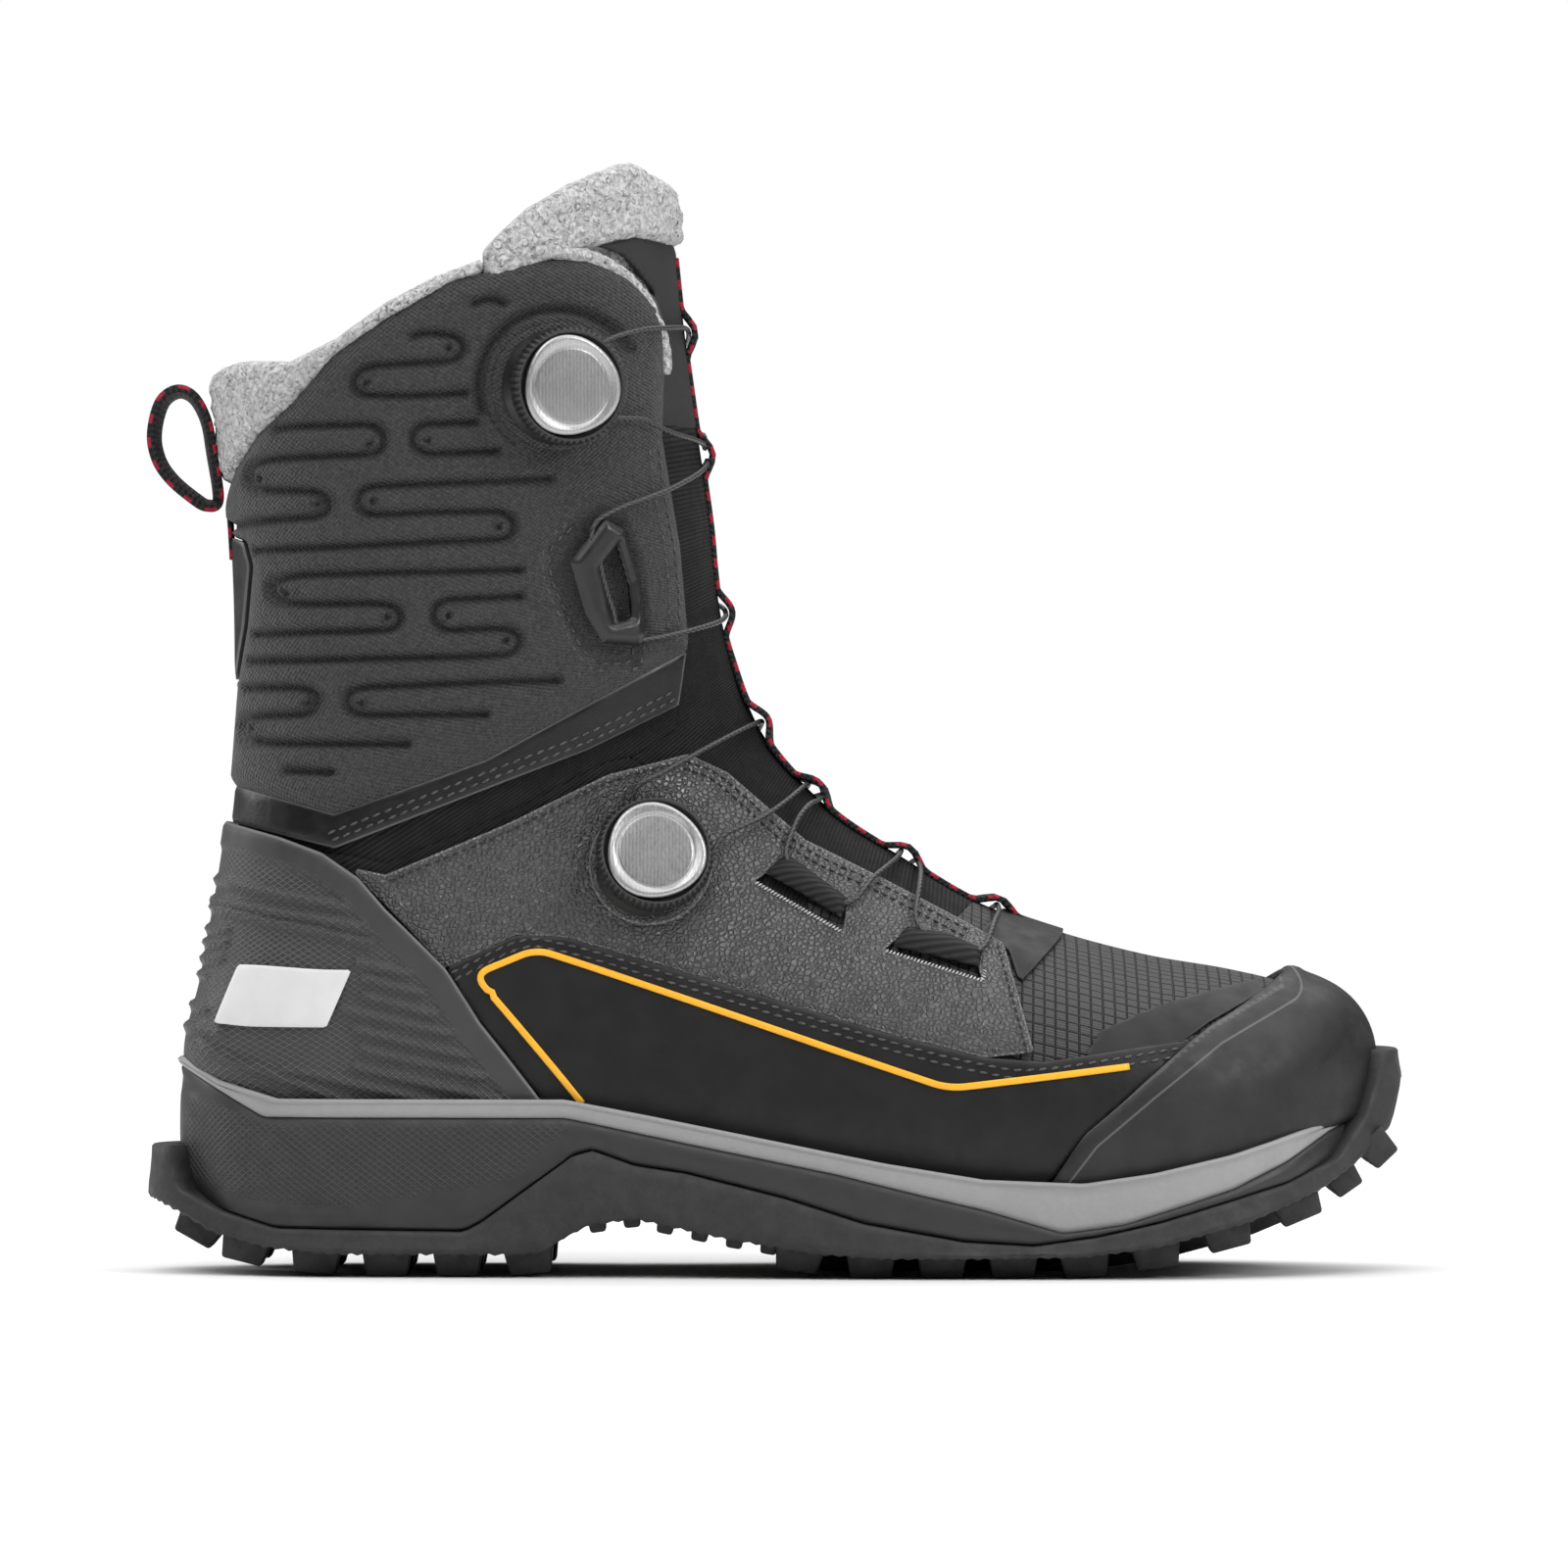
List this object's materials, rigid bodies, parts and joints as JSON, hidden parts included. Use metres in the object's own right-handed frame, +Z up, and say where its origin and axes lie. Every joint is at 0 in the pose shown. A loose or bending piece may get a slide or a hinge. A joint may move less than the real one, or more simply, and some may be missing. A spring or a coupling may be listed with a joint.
{
  "type": "insulated winter hiking boot",
  "caption": "Tall fleece-lined winter boot for the right foot with a lugged sole, quilted shaft, rubber toe and heel, and winding-dial lacing on the shaft and the instep.",
  "frame": {"origin": "on the ground, under the middle of the heel, on the flat foot of the heel's middle lug", "axes": "+X forward to the toe, +Z up, -Y to the outer side of the foot, where the dials are"},
  "size_m": [0.3106, 0.1131, 0.2757],
  "materials": {
    "rubber": "moulded, matt",
    "midsole_foam": "moulded foam with a fine diamond texture",
    "grey_foam": "moulded foam, satin",
    "board": "fibre board",
    "footbed_felt": "needled felt",
    "shank_steel": "rolled strip",
    "fleece": "curly pile",
    "membrane": "laminate",
    "textile": "woven, matt",
    "ripstop": "woven with a raised square grid",
    "softshell": "brushed softshell over foam with embossed channels",
    "coated_band": "smooth coated cloth",
    "leather": "grained, satin",
    "rand_film": "smooth film, satin",
    "heel_counter_rubber": "moulded, diamond texture with raised ribs",
    "piping": "raised print, satin",
    "reflective_patch": "smooth, satin",
    "webbing": "woven with a dark red tracer",
    "guide_plastic": "moulded",
    "dial_rubber": "knurled",
    "dial_metal": "brushed, anodised grey",
    "lace": "nylon-coated steel lace"
  },
  "bodies": {
    "boot": {"outsole": "rubber", "midsole": "midsole_foam", "midsole_band": "grey_foam", "insole_board": "board", "strobel_sole": "board", "toe_puff": "board", "footbed": "footbed_felt", "shank": "shank_steel", "fleece_lining": "fleece", "tongue_fleece": "fleece", "membrane_bootie": "membrane", "tongue_panel": "textile", "instep_gusset": "textile", "shaft_backing": "textile", "foot_backing": "textile", "vamp_textile": "ripstop", "shaft_panel_outer": "softshell", "shaft_panel_inner": "softshell", "shaft_band_outer": "coated_band", "shaft_band_inner": "coated_band", "back_stay": "coated_band", "quarter_outer": "leather", "quarter_inner": "leather", "side_rand_outer": "rand_film", "side_rand_inner": "rand_film", "vamp_film_outer": "rand_film", "vamp_film_inner": "rand_film", "vamp_patch": "rand_film", "toe_cap": "rand_film", "heel_counter": "heel_counter_rubber", "piping_outer": "piping", "piping_inner": "piping", "heel_patch_outer": "reflective_patch", "heel_patch_inner": "reflective_patch", "instep_webbing": "webbing", "inner_guide_1": "webbing", "inner_guide_2": "webbing", "inner_guide_3": "webbing", "inner_guide_4": "webbing", "inner_guide_5": "webbing", "slot_loop_rear": "webbing", "slot_loop_front": "webbing", "pull_loop_tab": "webbing", "upper_lace_guide": "guide_plastic", "upper_dial_flange": "guide_plastic", "lower_dial_flange": "guide_plastic", "upper_dial_housing": "guide_plastic", "lower_dial_housing": "guide_plastic", "upper_dial_axle": "dial_metal", "lower_dial_axle": "dial_metal", "upper_lace": "lace", "lower_lace": "lace"},
    "upper_dial_spindle": {"upper_dial_spool": "guide_plastic"},
    "upper_dial_head": {"upper_dial_knob": "dial_rubber", "upper_dial_cap": "dial_metal"},
    "lower_dial_spindle": {"lower_dial_spool": "guide_plastic"},
    "lower_dial_head": {"lower_dial_knob": "dial_rubber", "lower_dial_cap": "dial_metal"},
    "pull_loop": {"pull_loop": "webbing"}
  },
  "joints": [
    {"name": "upper_dial_turn", "type": "hinge", "parent": "boot", "child": "upper_dial_spindle", "pos_m": [0.04281, -0.04612, 0.21956], "axis": [0.3288, -0.9438, -0.033], "continuous": true},
    {"name": "upper_dial_lift", "type": "slide", "parent": "upper_dial_spindle", "child": "upper_dial_head", "axis": [0.3288, -0.9438, -0.033], "range_m": [0, 0.003]},
    {"name": "lower_dial_turn", "type": "hinge", "parent": "boot", "child": "lower_dial_spindle", "pos_m": [0.06525, -0.03286, 0.10235], "axis": [0.1301, -0.9483, 0.2895], "continuous": true},
    {"name": "lower_dial_lift", "type": "slide", "parent": "lower_dial_spindle", "child": "lower_dial_head", "axis": [0.1301, -0.9483, 0.2895], "range_m": [0, 0.003]},
    {"name": "pull_loop_swing", "type": "hinge", "parent": "boot", "child": "pull_loop", "pos_m": [-0.0448, 0, 0.1922], "axis": [0, -1, 0], "range_deg": [0, 50], "stiffness_Nm_per_rad": 0.01}
  ]
}
